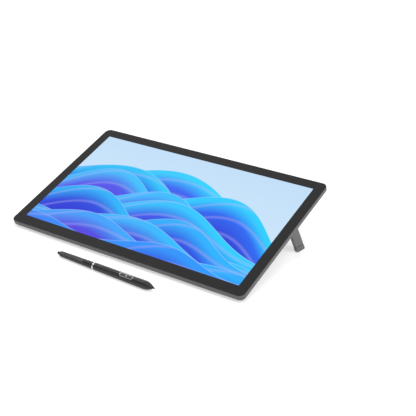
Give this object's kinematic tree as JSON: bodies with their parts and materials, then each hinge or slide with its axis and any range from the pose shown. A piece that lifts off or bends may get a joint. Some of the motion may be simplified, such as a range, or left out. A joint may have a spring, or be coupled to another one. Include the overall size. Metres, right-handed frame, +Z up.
{
  "type": "pen drawing tablet",
  "caption": "Flat pen display for drawing, leaned back on two fold-out legs with rubber feet, with a slim two-button pen lying in front of it.",
  "frame": {"origin": "middle of the footprint of the tablet and its pen, on the surface they stand on", "axes": "+X to the user's right, +Y away from the user, +Z up"},
  "size_m": [0.444, 0.3044, 0.1022],
  "materials": {
    "screen_glass": "polished glass with a dark printed border",
    "panel_glass": "display panel, lit",
    "backlight_plastic": "white diffuser",
    "circuit_board": "green solder mask",
    "plate_metal": "bare sheet",
    "rim_metal": "dark grey anodised, fine blasted",
    "back_cover": "dark grey, fine matt texture",
    "leg_metal": "dark grey anodised, satin",
    "rubber": "black, matt",
    "steel": "plain",
    "ribbon_film": "amber film",
    "silver_trim": "satin silver",
    "pen_plastic": "dark soft-touch",
    "nib_plastic": "black",
    "ferrite": "dull dark grey",
    "copper": "enamelled winding"
  },
  "bodies": {
    "tablet": {"cover_glass": "screen_glass", "display_panel": "panel_glass", "backlight_unit": "backlight_plastic", "digitizer_board": "circuit_board", "chassis_plate": "plate_metal", "rim_frame": "rim_metal", "back_shell": "back_cover", "back_screw_1": "steel", "back_screw_2": "steel", "back_screw_3": "steel", "back_screw_4": "steel", "back_screw_5": "steel", "back_screw_6": "steel", "main_board": "circuit_board", "heat_spreader": "plate_metal", "display_driver_board": "circuit_board", "pen_signal_board": "circuit_board", "display_ribbon": "ribbon_film", "digitizer_ribbon": "ribbon_film", "usb_socket_inner": "steel", "usb_socket_outer": "steel", "port_board": "circuit_board", "power_switch": "steel", "bay_video_socket": "steel", "bay_usb_socket": "steel", "bay_board": "circuit_board", "hinge_bracket_left": "steel", "hinge_bracket_right": "steel", "hinge_pin_left": "steel", "hinge_pin_right": "steel", "hinge_leaf_left": "steel", "hinge_leaf_right": "steel", "front_foot_left": "rubber", "front_foot_right": "rubber", "back_pad_front_left": "rubber", "back_pad_front_right": "rubber", "back_pad_rear_left": "rubber", "back_pad_rear_right": "rubber"},
    "leg_left": {"leg_left": "leg_metal", "leg_foot_left": "rubber"},
    "leg_right": {"leg_right": "leg_metal", "leg_foot_right": "rubber"},
    "power_button": {"power_button": "silver_trim"},
    "pen": {"pen_grip": "pen_plastic", "pen_barrel": "pen_plastic", "pen_ring": "silver_trim", "pen_button_frame": "silver_trim", "pen_board": "circuit_board", "pen_switch_front": "steel", "pen_switch_rear": "steel", "pen_coil": "copper", "pen_ferrite_core": "ferrite", "pen_pressure_sensor": "ferrite", "pen_eraser_switch": "ferrite"},
    "pen_nib": {"pen_nib": "nib_plastic", "pen_nib_clamp": "steel"},
    "pen_eraser": {"pen_eraser": "nib_plastic"},
    "pen_button_front": {"pen_button_front": "pen_plastic"},
    "pen_button_rear": {"pen_button_rear": "pen_plastic"}
  },
  "joints": [
    {"name": "leg_left_fold", "type": "hinge", "parent": "tablet", "child": "leg_left", "pos_m": [-0.19, 0.08356, 0.05856], "axis": [0, -0.9397, -0.342], "range_deg": [0, 102]},
    {"name": "leg_right_fold", "type": "hinge", "parent": "tablet", "child": "leg_right", "pos_m": [0.19, 0.08356, 0.05856], "axis": [0, 0.9397, 0.342], "range_deg": [0, 102]},
    {"name": "power_button_press", "type": "slide", "parent": "tablet", "child": "power_button", "axis": [0, -0.9397, -0.342], "range_m": [0, 0.0005], "stiffness_N_per_m": 700, "springref_m": -0.0005},
    {"name": "pen_lift", "type": "slide", "parent": "tablet", "child": "pen", "axis": [0, 0, 1], "range_m": [0, 0.12]},
    {"name": "pen_nib_press", "type": "slide", "parent": "pen", "child": "pen_nib", "axis": [-0.9993, 0.0366, -0.0094], "range_m": [0, 0.0008], "stiffness_N_per_m": 600, "springref_m": -0.0004},
    {"name": "pen_eraser_press", "type": "slide", "parent": "pen", "child": "pen_eraser", "axis": [0.9993, -0.0366, 0.0094], "range_m": [0, 0.0008], "stiffness_N_per_m": 600, "springref_m": -0.0004},
    {"name": "pen_button_front_press", "type": "slide", "parent": "pen", "child": "pen_button_front", "axis": [0.0265, 0.4994, -0.866], "range_m": [0, 0.0004], "stiffness_N_per_m": 600, "springref_m": -0.0004},
    {"name": "pen_button_rear_press", "type": "slide", "parent": "pen", "child": "pen_button_rear", "axis": [0.0265, 0.4994, -0.866], "range_m": [0, 0.0004], "stiffness_N_per_m": 600, "springref_m": -0.0004}
  ]
}
